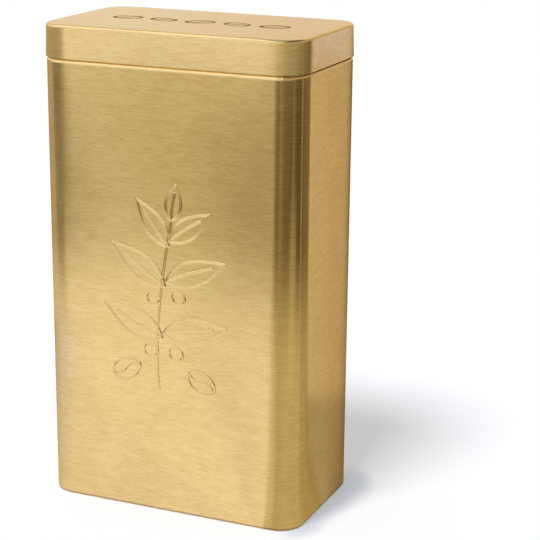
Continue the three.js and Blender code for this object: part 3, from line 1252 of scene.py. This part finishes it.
strip = right_nodes.band(bearing, STRIP_RISE, STRIP_FALL)
strip = strip * right_nodes.band(radius, STRIP_START, STRIP_END)
right_colour = right_nodes.mix(STRIP_SHARE * strip, right_colour, (*TAN, 1))
# Near the wall the card's glow is darkened: a painted contact shadow along the foot and a painted
# shadow beside the foot behind the corner.
beside_foot = right_nodes.steps(radius, *BESIDE_EDGE, 1.0, 0.0)
behind = right_nodes.steps(bearing, *BEHIND_EDGE)
contact_shadow = right_nodes.steps(right_card.from_wall, *CONTACT_SHADOW_EDGE, CONTACT_SHADOW_TONE, 1.0)
card_light = (1 - BEHIND_SHADOW_DIM * beside_foot * behind) * contact_shadow
right_card.show(right_nodes.mix(card_light, BLACK, right_colour), 1.0)

# %% The card about the left corner
LEFT_RISE, LEFT_FALL = (0.08, 0.2), (0.22, 0.28)
LEFT_INNER_COVER = 0.6

# The left card's glowing tones are a painted reflection as well.
left_card = ShadeCard("left_shade", -1, reach=LEFT_FALL[1], lift=0.2 * MM)
left_cover = left_card.zone(LEFT_TONES, "Alpha")
rising = left_card.nodes.steps(left_card.radius, *LEFT_RISE, LEFT_INNER_COVER, 1.0)
falling = left_card.nodes.steps(left_card.radius, *LEFT_FALL, 1.0, 0.0)
left_card.show(left_card.zone(LEFT_TONES), left_cover * rising * falling)

# %% The soft box
SOFT_BOX_LEFT, SOFT_BOX_RIGHT = -1.3, -0.36
SOFT_BOX_FRONT, SOFT_BOX_BACK = -1.65, 0.1
SOFT_BOX_HEIGHT = 1.1
SOFT_BOX_GLOW = 1.25

soft_box_finish, glow_nodes, _ = new_finish("soft_box")
glow_nodes.surface(glow_nodes.glow(FULL_WHITE, SOFT_BOX_GLOW))
soft_box_outline = rectangle(SOFT_BOX_LEFT, SOFT_BOX_RIGHT, SOFT_BOX_FRONT, SOFT_BOX_BACK)
soft_box = add_sheet("soft_box", soft_box_outline, soft_box_finish)
soft_box.location = (0, 0, SOFT_BOX_HEIGHT)
only_reflected(soft_box)
print("soft box at", SOFT_BOX_HEIGHT, "m")

# %% The lamp
LAMP_FROM = Vector((-0.10, -0.50, 1.0))
LAMP_STRENGTH = 1.9
LAMP_SPREAD = math.radians(18)

lamp_data = bpy.data.lights.new("soft_lamp", "SUN")
lamp_data.energy = LAMP_STRENGTH
lamp_data.angle = LAMP_SPREAD
lamp = bpy.data.objects.new("soft_lamp", lamp_data)
lamp.rotation_euler = LAMP_FROM.to_track_quat("Z", "Y").to_euler()
lamp.visible_glossy = False
scene.collection.objects.link(lamp)
print("lamp from", tuple(round(v, 2) for v in LAMP_FROM.normalized()))

# %% [markdown]
# ## The camera
#
# The picture is taken from the front right and a little above, with a long lens. The angles, the
# place and the lens were fitted to the straight edges of the photographed tin.

# %% The camera
AZIMUTH = math.radians(23.28)
ELEVATION = math.radians(15.98)
ROLL = math.radians(0.524)
EYE = Vector((0.27907, -0.57919, 0.27572))
LENS = 112.0
SENSOR_WIDTH = 36

level_back = Vector((math.sin(AZIMUTH), -math.cos(AZIMUTH), 0))
back = level_back * math.cos(ELEVATION) + Vector((0, 0, math.sin(ELEVATION)))
level_right = Vector((math.cos(AZIMUTH), math.sin(AZIMUTH), 0))
level_up = back.cross(level_right)
right = level_right * math.cos(ROLL) + level_up * math.sin(ROLL)
up = level_up * math.cos(ROLL) - level_right * math.sin(ROLL)

camera_data = bpy.data.cameras.new("camera")
camera_data.lens = LENS
camera_data.sensor_width = SENSOR_WIDTH
camera = bpy.data.objects.new("camera", camera_data)
turned = Matrix((right, up, back)).transposed()
camera.matrix_world = Matrix.Translation(EYE) @ turned.to_4x4()
scene.collection.objects.link(camera)
scene.camera = camera
print("camera at", tuple(round(v, 3) for v in EYE))

# %% [markdown]
# ## Finish
#
# The view layer is brought up to date.

# %% Finish
bpy.context.view_layer.update()
